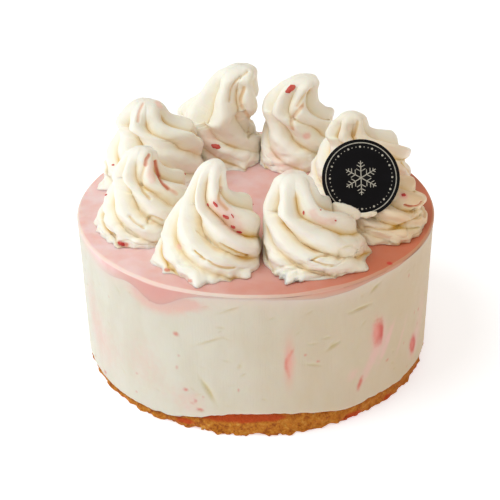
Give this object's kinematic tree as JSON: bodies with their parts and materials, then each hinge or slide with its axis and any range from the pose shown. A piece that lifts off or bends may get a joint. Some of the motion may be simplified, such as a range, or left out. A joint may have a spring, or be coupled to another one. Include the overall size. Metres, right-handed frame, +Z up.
{
  "type": "ice cream cake",
  "caption": "Round strawberry ice cream cake on a biscuit base, with a pink top, a ring of piped cream swirls and a small round dark tag.",
  "frame": {"origin": "middle of the base's underside, on the surface that the cake stands on", "axes": "+Z up, the front is at -Y and +X is to the right seen from the front"},
  "size_m": [0.15, 0.15, 0.1079],
  "materials": {
    "biscuit": "baked golden biscuit crumb, matt and craggy",
    "ice_cream": "frozen vanilla ice cream with strawberry marks, scraped smooth, soft satin",
    "strawberry": "pale pink strawberry ice cream, smooth satin",
    "cream": "piped whipped cream, soft satin",
    "tag": "black satin disc with a thin pale ring and a plain pattern"
  },
  "bodies": {
    "root": {"biscuit_base": "biscuit", "ice_cream": "ice_cream", "strawberry_top": "strawberry", "swirl_1": "cream", "swirl_2": "cream", "swirl_3": "cream", "swirl_4": "cream", "swirl_5": "cream", "swirl_6": "cream", "swirl_7": "cream", "swirl_8": "cream", "tag": "tag"}
  },
  "joints": []
}
